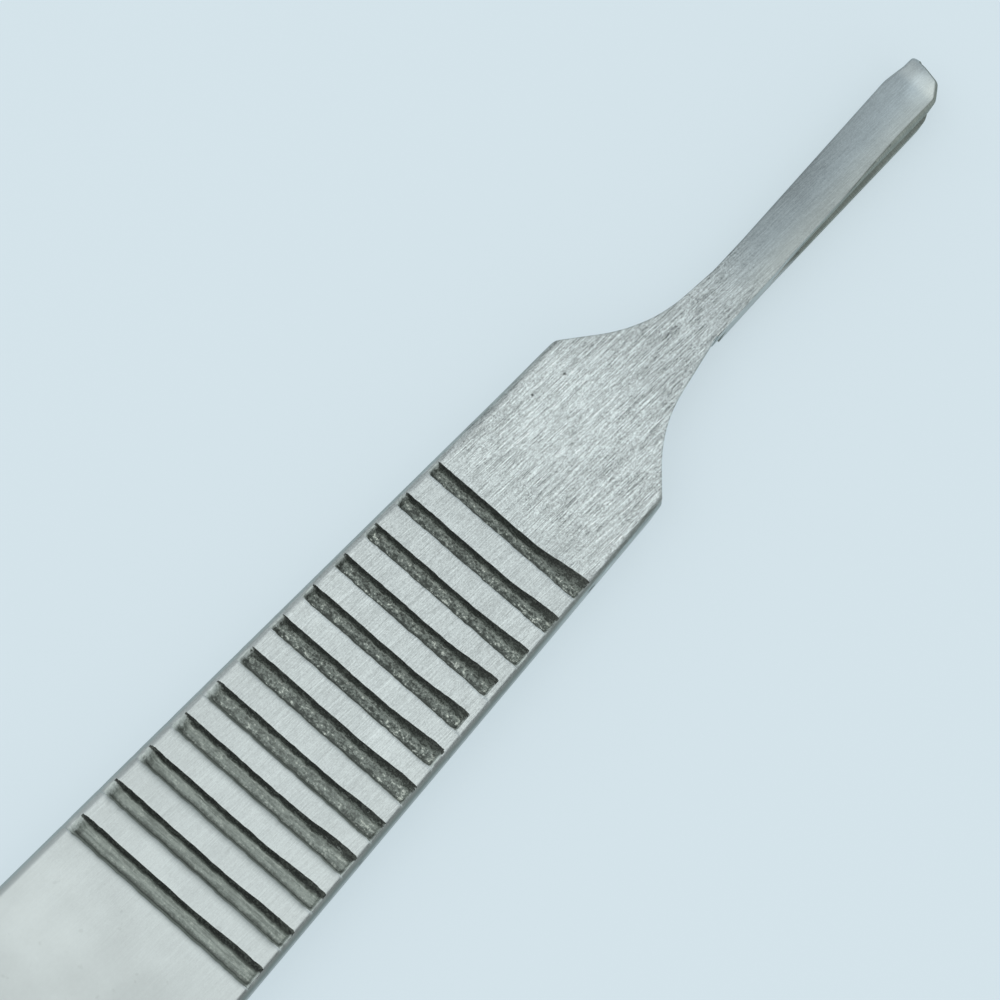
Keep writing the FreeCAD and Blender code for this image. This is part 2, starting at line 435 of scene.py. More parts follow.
@dataclass
class Handle:
    """The whole handle as one closed mesh of rings, from the rounded tail to the tip of the tang.

    The steps ahead of the grooves are (place, rings up to it). Each step of the blade fitting has
    two rings almost in one plane. The tip's turn is its first angle in degrees and its rings.
    """

    plan: BodyPlan = field(default_factory=BodyPlan)
    fitting: BladeFitting = field(default_factory=BladeFitting)
    grooves: GripGrooves = field(default_factory=GripGrooves)
    milled: MilledAndPaintedEdgeShade = field(default_factory=MilledAndPaintedEdgeShade)
    tail_turn: float = 3.75
    body_rings: int = 48
    steps_ahead: tuple[tuple[float, int], ...] = (
        (34.6, 23), (36.1, 19), (39.496, 15), (39.5, 1), (42.6, 13), (42.606, 1), (42.9, 1),
        (43.3, 1), (43.796, 1), (43.8, 1), (47.596, 11), (47.6, 1), (47.7, 1), (48.6, 4), (49.1, 1),
        (58.5, 21), (58.8, 1), (61.6, 21))
    tip_length: float = 0.9
    tip_turn: tuple[float, int] = (3.0, 30)
    edge_points: int = 8
    side_points: int = 7
    back_points: tuple[int, int] = (30, 19)
    front_points: tuple[int, int] = (26, 5)
    dense_reach: float = 1.1
    narrow: float = 3.0
    wide: float = 7.0
    least_groove: float = 0.006
    dull_from: float = 0.8
    sharp_turn: float = 28.0
    name: str = "scalpel_handle_visual"

    def stations(self) -> HandleRings:
        """Places of the rings, close together wherever the form turns.

        Round the tail and the tip they follow equal turns of an arc. Each groove has its own list
        of places about its middle.

        Returns:
            The places in rising order.
        """
        plan, grooves = self.plan, self.grooves
        turn = np.radians(np.arange(0.0, 90.0 + self.tail_turn / 2, self.tail_turn))
        tail = -plan.tip_x + plan.tail_radius * (1 - np.cos(turn))
        numbers, places = np.arange(grooves.count)[::-1], np.array(grooves.stations)
        grip = (grooves.centre(numbers)[:, None] + places).ravel()
        body = np.linspace(tail[-1], grip[0], self.body_rings)[1:-1]
        ends, steps = np.array(self.steps_ahead).T
        marks = np.concatenate([[0.0], np.cumsum(steps)])
        ahead = np.interp(np.arange(1, marks[-1] + 1), marks, np.concatenate([grip[-1:], ends]))
        first, count = self.tip_turn
        turn = np.radians(np.linspace(first, 90.0, count))
        tip = plan.tip_x - self.tip_length * (1 - np.sin(turn))
        x = np.concatenate([tail, body, grip, ahead, tip])
        groove, local = np.full(len(x), -1), np.zeros(len(x))
        start = len(tail) + len(body)
        groove[start:start + len(grip)] = np.repeat(numbers, len(places))
        local[start:start + len(grip)] = np.tile(places, grooves.count)
        return HandleRings(x, groove, local)

    def edge_y(self, x: np.ndarray, slope: np.ndarray, line: np.ndarray) -> np.ndarray:
        """Where leaning rings meet a side: y is found over and over at x plus slope times y."""
        y = np.interp(x, *line.T)
        for _ in range(60):
            y = 0.5 * y + 0.5 * np.interp(x + slope * y, *line.T)
        return y

    def side_lines(self, x: np.ndarray, slope: np.ndarray) -> tuple[SideLines, SideLines]:
        """Both sides of every ring, with the strip and the web set in from where the slots start.

        Args:
            x: the rings' places.
            slope: each ring's lean.

        Returns:
            The right side and the left side.
        """
        plan, fit = self.plan, self.fitting
        last, slotted = x > plan.tip_x - HAIR, x >= fit.slot_x
        right, left = (np.where(last, end, self.edge_y(x, slope, plan.outline(side)))
                       for side, end in zip(Side, fit.tip_ends))
        relief = np.clip((x - fit.slot_x) / fit.relief_run, 0.0, 1.0)
        inner = np.interp(x, *rounded_chain(list(plan.strip_right)).T)
        strip_left = np.minimum(left, fit.tang_half + fit.left_relief * relief)
        strip_left = np.where(slotted, strip_left, left)
        strip_right = np.where(slotted, np.maximum(right, inner), right)
        strip_right = np.minimum(strip_right, strip_left - fit.least_strip)
        web_right = np.where(slotted, np.maximum(right, -fit.web_half), right)
        web_left = np.where(slotted, np.minimum(left, fit.web_half), left)
        return SideLines(right, strip_right, web_right), SideLines(left, strip_left, web_left)

    def spread(self, width: np.ndarray, middle: int, dense: int) -> np.ndarray:
        """Shares from 0 to 1 across a face, closer together near both sides where it is wide.

        Args:
            width: the face's width at each ring, less its two rounded edges.
            middle: points over the middle.
            dense: points over the dense reach next to each side.

        Returns:
            One row of shares for each ring.
        """
        reach = np.maximum(width, self.narrow)[:, None]
        left = np.linspace(0.0, self.dense_reach, dense + 1) / reach
        edge = self.dense_reach / reach
        inner = edge + (1 - 2 * edge) * np.linspace(0, 1, middle)[1:-1]
        packed = np.concatenate([left, inner, 1 - left[:, ::-1]], axis=1)
        share = smooth_step(self.narrow, self.wide, width)[:, None]
        return np.linspace(0.0, 1.0, middle + 2 * dense) * (1 - share) + packed * share

    def face_row(self, right: np.ndarray, left: np.ndarray, points: tuple[int, int]) -> np.ndarray:
        """Places across one face, from its right side to its left, with its rounded edges.

        Along a rounded edge the distance in is c times (1 - cos of an angle), with c the body's
        radius, or a fifth of the width where the handle is narrow.

        Args:
            right: y of the right side at each ring.
            left: y of the left side at each ring.
            points: how many over the middle, and how many close to each side.

        Returns:
            One row of y for each ring.
        """
        right, width = right[:, None], (left - right)[:, None]
        c = np.minimum(self.plan.face_round, 0.2 * width)
        inset = c * (1 - np.cos(np.linspace(0, math.pi / 2, self.edge_points + 1)[:-1]))
        inner = right + c + self.spread((width - 2 * c)[:, 0], *points) * (width - 2 * c)
        return np.concatenate([right + inset, inner, (right + width - inset)[:, ::-1]], axis=1)

    def groove_shift(self, rings: HandleRings, y: np.ndarray) -> np.ndarray:
        """How far each point of a groove moves along the handle, so that its edges stray.

        Between the grooves' marks the shift goes evenly. It adds the groove's own edge places, the
        flare towards the right end and irregular waves.

        Args:
            rings: the stations.
            y: places across the face, one row for each ring.

        Returns:
            The shift of every point.
        """
        grooves, across, number = self.grooves, y[rings.rows], rings.number
        flare = smooth_step(*grooves.flare_run, across) * rings.of_each(grooves.flare)
        rise = rings.of_each(grooves.upper) - grooves.half_mouth
        rise = rise + grooves.stray(across, number, grooves.upper_waves)
        foot = grooves.foot_share * rise + grooves.foot_shift
        foot = foot + grooves.stray(across, number, grooves.foot_waves)
        lower = rings.of_each(grooves.lower) + grooves.half_mouth
        lower = lower + grooves.stray(across, number, grooves.lower_waves)
        none = moved = np.zeros_like(across)
        values = [none, lower, grooves.floor_share * lower, foot, rise + flare, none]
        for low, high, first, second in zip(grooves.marks, grooves.marks[1:], values, values[1:]):
            share = (rings.place - low) / (high - low)
            inside = (share >= 0.0) & (share <= 1.0)
            moved = np.where(inside, first + (second - first) * share, moved)
        shift = np.zeros_like(y)
        shift[rings.rows] = moved
        return shift

    def open_share(self, rings: HandleRings, y: np.ndarray) -> np.ndarray:
        """Share of its depth that each groove has, which falls to nothing past its two ends.

        Towards the tail the floors rise more gently at the left ends.

        Args:
            rings: the stations.
            y: places across the face.

        Returns:
            A share for each point, 1 wherever there is no groove.
        """
        grooves, across, number = self.grooves, y[rings.rows], rings.number
        half = self.plan.half_width(rings.x[rings.rows])[:, None]
        stray = grooves.stray(rings.place, number, grooves.end_waves)
        left_in = half - across - rings.of_each(grooves.left_end) + stray
        right_in = across + half - rings.of_each(grooves.right_end)
        low, high, gentler = grooves.left_close
        high = high + gentler * smooth_step(*grooves.left_tailward, number)
        share = np.ones_like(y)
        right_share = smooth_step(*grooves.right_close, right_in)
        share[rings.rows] = smooth_step(low, high, left_in) * right_share
        return share

    def groove_depth(self, rings: HandleRings, y: np.ndarray, face: Face) -> np.ndarray:
        """Depth of the grooves below the face at every point, with their ends closed.

        Across a groove the depth falls evenly from its mouth to its floor.

        Args:
            rings: the stations.
            y: places across the face.
            face: the back face has the rougher floors.

        Returns:
            The depth in millimetres.
        """
        grooves, across, place = self.grooves, y[rings.rows], rings.place
        wall = (grooves.half_mouth - np.abs(place)) / (grooves.half_mouth - grooves.half_floor)
        fall = grooves.depth * np.clip(wall, 0.0, 1.0)
        if face is Face.BACK:
            broad, long = grooves.rough_cells
            grain = speckle(np.round(across * broad), np.round(place * long), rings.number) - 0.5
            fall = fall + grooves.rough * grain * smooth_step(*grooves.rough_wall, wall)
        depth = np.zeros_like(y)
        depth[rings.rows] = fall * self.open_share(rings, y)[rings.rows]
        return depth

    def soft_corner(self, rings: HandleRings) -> np.ndarray:
        """Fall of each groove's lower edge, whose corner is worn, more so towards the tail."""
        grooves, place = self.grooves, -rings.place
        mouth, (low, high) = grooves.half_mouth, grooves.corner_wall
        beyond = np.clip(1 - (place - mouth) / grooves.corner_reach, 0.0, 1.0) ** 2
        below = np.clip((place - low) / (high - low), 0.0, 1.0)
        worn = np.where(place >= mouth - HAIR, beyond, below)
        fall = np.zeros((len(rings.x), 1))
        fall[rings.rows] = rings.of_each(grooves.corner) * worn
        return fall

    def dark_lip(self, rings: HandleRings) -> np.ndarray:
        """Dull band along each groove's lower edge, wide and dark towards the tail.

        From the mouth it fades as a power of the share of its width that is left.

        Args:
            rings: the stations.

        Returns:
            The share of dull steel at each ring, as a column.
        """
        grooves = self.grooves
        tailward = smooth_step(*grooves.lip_tailward, rings.number)
        width, strength = (low + more * tailward
                           for low, more in (grooves.lip_width, grooves.lip_share))
        beyond = -rings.place - grooves.half_mouth
        left = np.clip(1 - beyond / width, 0.0, 1.0) * (beyond > grooves.lip_start)
        share = np.zeros((len(rings.x), 1))
        share[rings.rows] = strength * left ** grooves.lip_fade
        return share

    def nose_fall(self, x: np.ndarray, nose: tuple[float, float]) -> np.ndarray:
        """Fall of an arc that leaves the face at the nose's length from the tip and drops at it.

        The radius is (length squared plus drop squared) over twice the drop.

        Args:
            x: places along the handle.
            nose: its length and its drop.

        Returns:
            The fall at each place.
        """
        length, drop = nose
        radius = (length * length + drop * drop) / (2 * drop)
        run = np.clip(x - (self.plan.tip_x - length), 0.0, length)
        return radius - np.sqrt(radius * radius - run * run)

    def body_round(self, points: np.ndarray, left_radius: np.ndarray | float) -> np.ndarray:
        """Fall of the body's rounded edge, measured from the body's two sides."""
        right, left = (distance_to_line(points, self.plan.face_line(side)) for side in Side)
        return np.maximum(round_drop(right, self.plan.face_round), round_drop(left, left_radius))

    def top_heights(self, points: np.ndarray, right: SideLines, left: SideLines) -> np.ndarray:
        """Height of the back face without its grooves.

        It is the thickness, less the largest of the body's rounded edge, the small edge round the
        neck and tang and the worn edge of the strip, less the fall of the nose.

        Args:
            points: x and y of every point.
            right: the rings' right side.
            left: the rings' left side.

        Returns:
            The height of every point.
        """
        plan, (x, y) = self.plan, np.moveaxis(points, -1, 0)
        tang = x > self.fitting.slot_x
        radius = plan.face_round * (1 - plan.left_fade_share * smooth_step(*plan.left_fade, x))
        near = np.minimum(*(distance_to_line(points, plan.outline(side)) for side in Side))
        inward = np.minimum(y - right.strip[:, None], left.strip[:, None] - y)
        near = np.where(tang, np.minimum(near, inward), near)
        worn = np.where(tang, self.from_strip_edge(points, right), np.inf)
        fall = np.maximum(self.body_round(points, radius), round_drop(near, plan.neck_round))
        fall = np.maximum(fall, round_drop(worn, plan.worn_width(x)))
        return plan.thickness - fall - self.nose_fall(x, self.fitting.back_nose)

    def from_strip_edge(self, points: np.ndarray, right: SideLines) -> np.ndarray:
        """Distance of every point from the right edge of the strip."""
        line = rounded_chain(list(self.plan.strip_right))
        return np.minimum(points[..., 1] - right.strip[:, None], distance_to_line(points, line))

    def bottom_heights(self, rings: HandleRings, points: np.ndarray) -> np.ndarray:
        """Height of the front face: the body's rounded edge and grooves, the recess, the boss."""
        fit, (x, y) = self.fitting, np.moveaxis(points, -1, 0)
        face = self.body_round(points, self.plan.face_round)
        face = face + self.groove_depth(rings, y, Face.FRONT)
        boss = fit.boss_bottom + self.nose_fall(x, fit.front_nose)
        place = rings.x[:, None]
        height = np.where(place < fit.seat_x - HAIR, face, fit.strip_bottom)
        return np.where(place >= fit.boss_rear_x - HAIR, boss, height)

    def side_column(self, x: np.ndarray, slope: np.ndarray, side: SideLines, top: np.ndarray,
                    low: np.ndarray) -> np.ndarray:
        """Points down one side between the back and front faces, in and out of the side slot.

        Behind the blade fitting they are evenly spaced. From there on they stand at the heights of
        the strip's lower face and the boss's upper face, two points for each.

        Args:
            x: the rings' places.
            slope: each ring's lean.
            side: the rings' side.
            top: height where the column starts.
            low: height where it ends.

        Returns:
            Rings by points by 3.
        """
        fit, line = self.fitting, side.outline
        share = np.arange(1, self.side_points + 1) / (self.side_points + 1)
        even = top[:, None] * (1 - share) + low[:, None] * share
        over, under = fit.strip_bottom + fit.ledge, fit.slot_floor - fit.ledge
        heights = [(top + over) / 2, over, fit.strip_bottom - fit.ledge, fit.slot_floor + fit.ledge,
                   under, under * 2 / 3 + low / 3, under / 3 + low * 2 / 3]
        tang = np.stack([np.broadcast_to(height, x.shape) for height in heights], axis=1)
        ahead = (x >= fit.boss_rear_x - HAIR)[:, None]
        places = np.stack([side.strip, side.strip, side.web, side.web, line, line, line], axis=1)
        y = np.where(ahead, places, line[:, None])
        return np.stack([x[:, None] + slope[:, None] * y, y, np.where(ahead, tang, even)], axis=-1)

    def top_milled_and_painted_shade(self, rings: HandleRings, points: np.ndarray, right: SideLines,
                   left: SideLines) -> np.ndarray:
        """Share of the milled finish and of painted dark edge lines on the back face: its rounded
        edges, its worn edge and lips.

        Args:
            rings: the stations.
            points: x and y of every point.
            right: the rings' right side.
            left: the rings' left side.

        Returns:
            The share at every point.
        """
        look, (x, y), count = self.milled, np.moveaxis(points, -1, 0), self.edge_points
        behind = (1 - smooth_step(*look.neck, rings.x))[:, None]
        near = smooth_step(*look.near_neck, rings.x)[:, None]
        share = np.zeros_like(x)
        # the rounded edges' shares paint the dark line of their reflection
        share[:, :count] = (look.broad + (np.array(look.thin) - look.broad) * near) * behind
        share[:, -count:] = np.linspace(*look.left_edge, count) * behind
        # band: painted dark reflection line along the strip's right edge towards the tip
        past = self.from_strip_edge(points, right) - self.plan.worn_width(x)
        band = smooth_step(*look.band, past) * smooth_step(*look.band_from, x)
        inward = np.minimum(y - right.strip[:, None], left.strip[:, None] - y)
        lips = self.dark_lip(rings) * smooth_step(*look.lip_in, inward)
        return np.maximum(share, np.maximum(band, lips))

    def rings_of_points(self) -> tuple[np.ndarray, dict[str, np.ndarray]]:
        """Every ring's points, joined from its top row, left side, bottom row and right side.

        Returns:
            Points as rings by points by 3. By name, a value for each point: the groove's depth, its
            place across the groove, how near it is to the groove's end and the share of milled
            finish and painted dark edge lines.
        """
        plan, fit, look = self.plan, self.fitting, self.milled
        rings = self.stations()
        x, slope = rings.x, np.interp(rings.x, plan.shear_x, plan.shear_slope, left=0.0, right=0.0)
        right, left = self.side_lines(x, slope)
        top_y = self.face_row(right.strip, left.strip, self.back_points)
        top_x = x[:, None] + slope[:, None] * top_y + self.groove_shift(rings, top_y)
        top = np.stack([top_x, top_y], axis=-1)
        deep = self.groove_depth(rings, top_y, Face.BACK)
        top_z = self.top_heights(top, right, left) - deep - self.soft_corner(rings)
        low_y = self.face_row(right.outline, left.outline, self.front_points)
        low = np.stack([x[:, None] + slope[:, None] * low_y, low_y], axis=-1)
        low_z = self.bottom_heights(rings, low)
        points = np.concatenate([
            np.dstack([top, top_z]),
            self.side_column(x, slope, left, top_z[:, -1], low_z[:, -1]),
            np.dstack([low, low_z])[:, ::-1],
            self.side_column(x, slope, right, top_z[:, 0], low_z[:, 0])[:, ::-1]], axis=1)

        neck, near = smooth_step(*look.neck, x), smooth_step(*look.near_neck, x)
        root = smooth_step(*look.root, x)
        on_left = np.where(x >= fit.slot_x - HAIR, 1.0, look.left - look.left_neck * neck)[:, None]
        on_right = look.right - look.right_near * near - look.right_neck * neck
        on_right = on_right * (1 - root) + root
        column, row = np.ones((1, self.side_points)), np.ones_like(low_y)
        on_top = self.top_milled_and_painted_shade(rings, top, right, left)
        on_top[:, 0] = np.maximum(on_right, on_top[:, 0])
        milled = np.concatenate([on_top, on_left * column, row * (x >= fit.seat_x - HAIR)[:, None],
                                 on_right[:, None] * column], axis=1)
        milled[0] = on_left[0]
        none = np.zeros((len(x), self.side_points))
        front = self.groove_depth(rings, low_y, Face.FRONT)[:, ::-1]
        ends = 1 - self.open_share(rings, top_y)
        return points, {
            "depth": np.concatenate([deep, none, front, none], axis=1),
            "groove_end": np.concatenate([ends, none, 0 * row, none], axis=1),
            "groove_place": np.ones_like(milled) * rings.local[:, None] / self.grooves.half_mouth,
            "milled_and_painted_edge_shade": milled}

    def build(self, finishes: list[bpy.types.Material]) -> bpy.types.Object:
        """Join the rings into one closed mesh, with its values at the points, and dress it.

        Args:
            finishes: of the faces and sides, of the grooves, and of the milled sides and slots.

        Returns:
            The handle, which stands for the solid of the same name.
        """
        ring, values = self.rings_of_points()
        count, around = ring.shape[:2]
        vertices = ring.reshape(-1, 3) * MM
        step = np.arange(around)
        following = np.roll(step, -1)
        base = np.arange(count - 1)[:, None] * around
        quads = np.stack([base + step, base + around + step, base + around + following,
                          base + following], axis=-1).reshape(-1, 4)
        loops = np.concatenate([quads.ravel(), step, (count - 1) * around + step[::-1]])
        sizes = np.concatenate([np.full(len(quads), 4), [around, around]])
        starts = np.concatenate([[0], np.cumsum(sizes)[:-1]])

        mesh = bpy.data.meshes.new(self.name)
        mesh.vertices.add(len(vertices))
        mesh.vertices.foreach_set("co", vertices.astype(np.float32).ravel())
        mesh.loops.add(len(loops))
        mesh.loops.foreach_set("vertex_index", loops.astype(np.int32))
        mesh.polygons.add(len(sizes))
        mesh.polygons.foreach_set("loop_start", starts.astype(np.int32))
        mesh.update(calc_edges=True)
        mesh.validate()
        mesh.polygons.foreach_set("use_smooth", np.ones(len(mesh.polygons), bool))
        mesh.set_sharp_from_angle(angle=math.radians(self.sharp_turn))
        for name in ("groove_end", "groove_place", "milled_and_painted_edge_shade"):
            attribute = mesh.attributes.new(name, "FLOAT", "POINT")
            attribute.data.foreach_set("value", values[name].ravel().astype(np.float32))

        for finish in finishes:
            mesh.materials.append(finish)
        steel, groove_steel, milled_steel = range(len(finishes))
        inside = values["depth"].ravel()[quads].max(axis=1) > self.least_groove
        # dull quads take the milled finish, and on the strip's right edge near the tip the painted
        # dark line
        dull = values["milled_and_painted_edge_shade"].ravel()[quads].min(axis=1) > self.dull_from
        slots = np.where(dull, milled_steel, np.where(inside, groove_steel, steel))
        slots = np.concatenate([slots, [steel, milled_steel]]).astype(np.int32)
        mesh.polygons.foreach_set("material_index", slots)

        piece = add_object(self.name, mesh)
        log.info("handle: %d rings of %d points, %d triangles", count, around, 2 * len(quads))
        return piece


# Finishes

class Nodes:
    """Short way to add and join the nodes of one material, group or world."""

    def __init__(self, tree: bpy.types.NodeTree) -> None:
        """Start on an empty tree."""
        self.tree = tree
        tree.nodes.clear()

    def put(self, target: Socket, value: object) -> None:
        """Join a socket to an input, or give the input a value of its own."""
        if isinstance(value, Socket):
            self.tree.links.new(value, target)
        else:
            target.default_value = value

    def add(self, kind: str, settings: dict[str, object] | None = None,
            **inputs: object) -> bpy.types.Node:
        """Add a node.

        Args:
            kind: the node's type.
            settings: its own properties by name.
            inputs: sockets or values for its inputs by name, with underscores for spaces.

        Returns:
            The node.
        """
        node = self.tree.nodes.new(kind)
        for name, value in (settings or {}).items():
            setattr(node, name, value)
        for name, value in inputs.items():
            self.put(node.inputs[name.replace("_", " ")], value)
        return node

    def math(self, operation: str, first: object, second: object = 0.0) -> Socket:
        """Add a Math node whose inputs are sockets or numbers, and give back its output."""
        node = self.add("ShaderNodeMath", {"operation": operation})
        self.put(node.inputs[0], first)
        self.put(node.inputs[1], second)
        return node.outputs[0]

    def plus(self, *terms: object) -> Socket:
        """Sum of sockets and numbers."""
        return reduce(partial(self.math, "ADD"), terms)

    def times(self, *factors: object) -> Socket:
        """Product of sockets and numbers."""
        return reduce(partial(self.math, "MULTIPLY"), factors)

    def rise(self, value: Socket, low: float, high: float, start: float = 0.0,
             end: float = 1.0) -> Socket:
        """Smooth rise of a value from start at low to end at high."""
        node = self.add("ShaderNodeMapRange", {"interpolation_type": "SMOOTHSTEP"}, Value=value,
                        From_Min=low, From_Max=high, To_Min=start, To_Max=end)
        return node.outputs["Result"]

    def noise(self, place: Socket, scale: float = 1.0, detail: float = 2.0,
              rough: float = 0.5) -> Socket:
        """Noise value at a place."""
        node = self.add("ShaderNodeTexNoise", Vector=place, Scale=scale, Detail=detail,
                        Roughness=rough)
        return node.outputs["Fac"]

    def cells(self, place: Socket) -> Socket:
        """Value from 0 to 1 that is even over each small cell and differs from cell to cell."""
        colour = self.add("ShaderNodeTexVoronoi", Vector=place, Scale=1.0).outputs["Color"]
        return self.add("ShaderNodeSeparateColor", Color=colour).outputs[0]

    def stretched(self, place: Socket, size: Triple, turn: float = 0.0,
                  middle: Triple = (0.0, 0.0, 0.0)) -> Socket:
        """Place about a middle, in units of a grain's own length, width and height.

        Args:
            place: the place on the handle.
            size: the grain's three sizes in millimetres.
            turn: its turn about the upright axis in degrees.
            middle: where it is, in millimetres.

        Returns:
            The place as a vector.
        """
        node = self.add("ShaderNodeMapping", {"vector_type": "TEXTURE"}, Vector=place,
                        Location=tuple(MM * shift for shift in middle),
                        Rotation=(0.0, 0.0, math.radians(turn)),
                        Scale=tuple(MM * length for length in size))
        return node.outputs["Vector"]

    def mix(self, share: Socket, first: object, second: object) -> Socket:
        """Mix two colours, each a socket or four numbers."""
        node = self.add("ShaderNodeMix", {"data_type": "RGBA"}, Factor=share)
        colours = [socket for socket in node.inputs if socket.type == "RGBA"]
        for target, value in zip(colours, (first, second)):
            self.put(target, value)
        return next(socket for socket in node.outputs if socket.type == "RGBA")

    def axes(self, vector: Socket) -> tuple[Socket, Socket, Socket]:
        """The x, y and z of a vector."""
        return tuple(self.add("ShaderNodeSeparateXYZ", Vector=vector).outputs)

    def object_place(self) -> tuple[Socket, Socket, Socket]:
        """The place on the handle, and its x and y in millimetres."""
        place = self.add("ShaderNodeTexCoord").outputs["Object"]
        x, y, _ = self.axes(place)
        return place, self.times(x, 1 / MM), self.times(y, 1 / MM)

    def group(self, tree: bpy.types.NodeTree, **inputs: object) -> bpy.types.NodeOutputs:
        """The outputs of a node group."""
        return self.add("ShaderNodeGroup", {"node_tree": tree}, **inputs).outputs

    def attribute(self, name: str) -> Socket:
        """A value that the mesh has at its points."""
        return self.add("ShaderNodeAttribute", {"attribute_name": name}).outputs["Fac"]

    def principled(self, height: Socket, strength: float, distance: float,
                   **inputs: object) -> None:
        """End a material on one Principled shader with a bump.

        Args:
            height: the bump's height.
            strength: how much of it shows.
            distance: its depth in metres.
            inputs: the shader's own inputs.
        """
        bump = self.add("ShaderNodeBump", Strength=strength, Distance=distance, Height=height)
        shader = self.add("ShaderNodeBsdfPrincipled", Normal=bump.outputs["Normal"], **inputs)
        self.add("ShaderNodeOutputMaterial", Surface=shader.outputs[0])


def start_material(name: str) -> tuple[bpy.types.Material, Nodes]:
    """Make an empty material, and give it back with its nodes."""
    material = bpy.data.materials.new(name)
    material.use_nodes = True
    return material, Nodes(material.node_tree)


def start_group(name: str, values: tuple[str, ...],
                outputs: tuple[str, ...]) -> tuple[Nodes, tuple[Socket, ...]]:
    """Make a node group with a place, other values and outputs.

    Args:
        name: the group's name.
        values: its inputs besides Place.
        outputs: its outputs.

    Returns:
        The group's nodes, and the sockets of its inputs in order.
    """
    group = bpy.data.node_groups.new(name, "ShaderNodeTree")
    group.interface.new_socket("Place", in_out="INPUT", socket_type="NodeSocketVector")
    for value in values:
        group.interface.new_socket(value, in_out="INPUT", socket_type="NodeSocketFloat")
    for output in outputs:
        group.interface.new_socket(output, in_out="OUTPUT", socket_type="NodeSocketFloat")
    nodes = Nodes(group)
    return nodes, tuple(nodes.add("NodeGroupInput").outputs)


def grinding_grain() -> bpy.types.NodeTree:
    """Fine scratches along the handle left by grinding, of thin cells drawn out lengthwise.

    Tone is a weighted sum of long, short and round cells, each with a value of its own. Height is a
    sum of two drawn-out noises. On upright faces both pass over to a grain that is thin in height.

    Returns:
        A group that turns a place and the share of upright into tone, height and deep scratches.
    """
    outputs = ("Tone", "Height", "Scratches")
    nodes, (place, upright, *_) = start_group("grinding_grain", ("Upright",), outputs)
    cells = (((0.95, 0.032, 0.5), -3.5, 0.32), ((0.50, 0.026, 0.4), -3.2, 0.26),
             ((0.052, 0.042, 0.1), 0.0, 0.42))
    tone = nodes.plus(*(nodes.times(nodes.cells(nodes.stretched(place, size, turn)), weight)
                        for size, turn, weight in cells))
    long_grain = nodes.noise(nodes.stretched(place, (0.80, 0.030, 0.4), -3.5), detail=0.0)
    short_grain = nodes.noise(nodes.stretched(place, (0.26, 0.030, 0.3), -3.0), detail=1.0)
    height = nodes.times(nodes.plus(long_grain, short_grain), 0.5)
    marks = nodes.noise(nodes.stretched(place, (1.6, 0.036, 0.6), -4.5), detail=0.0, rough=0.4)
    level = nodes.math("SUBTRACT", 1.0, upright)
    sides = nodes.times(nodes.noise(nodes.stretched(place, (0.9, 3.0, 0.045)), detail=1.0), upright)
    nodes.add("NodeGroupOutput", Tone=nodes.plus(nodes.times(tone, level), sides),
              Height=nodes.plus(nodes.times(height, level), sides),
              Scratches=nodes.times(nodes.rise(marks, 0.66, 0.74), level))
    return nodes.tree


def satin_cloud() -> bpy.types.NodeTree:
    """Cloudy unevenness of a tumbled satin face, from a broad, a middle and a fine noise.

    Returns:
        A group that turns a place into a value about 0.5, and another for fine pits.
    """
    nodes, (place, *_) = start_group("satin_cloud", (), ("Cloud", "Pits"))
    kinds = ((170.0, 2.0, 0.5, 0.45), (620.0, 3.0, 0.55, 0.4), (4200.0, 2.0, 0.6, 0.15))
    cloud = nodes.plus(*(nodes.times(nodes.noise(place, scale, detail, rough), weight)
                         for scale, detail, rough, weight in kinds))
    pits = nodes.rise(nodes.noise(place, 2600.0, 1.0), 0.70, 0.78)
    nodes.add("NodeGroupOutput", Cloud=cloud, Pits=pits)
    return nodes.tree


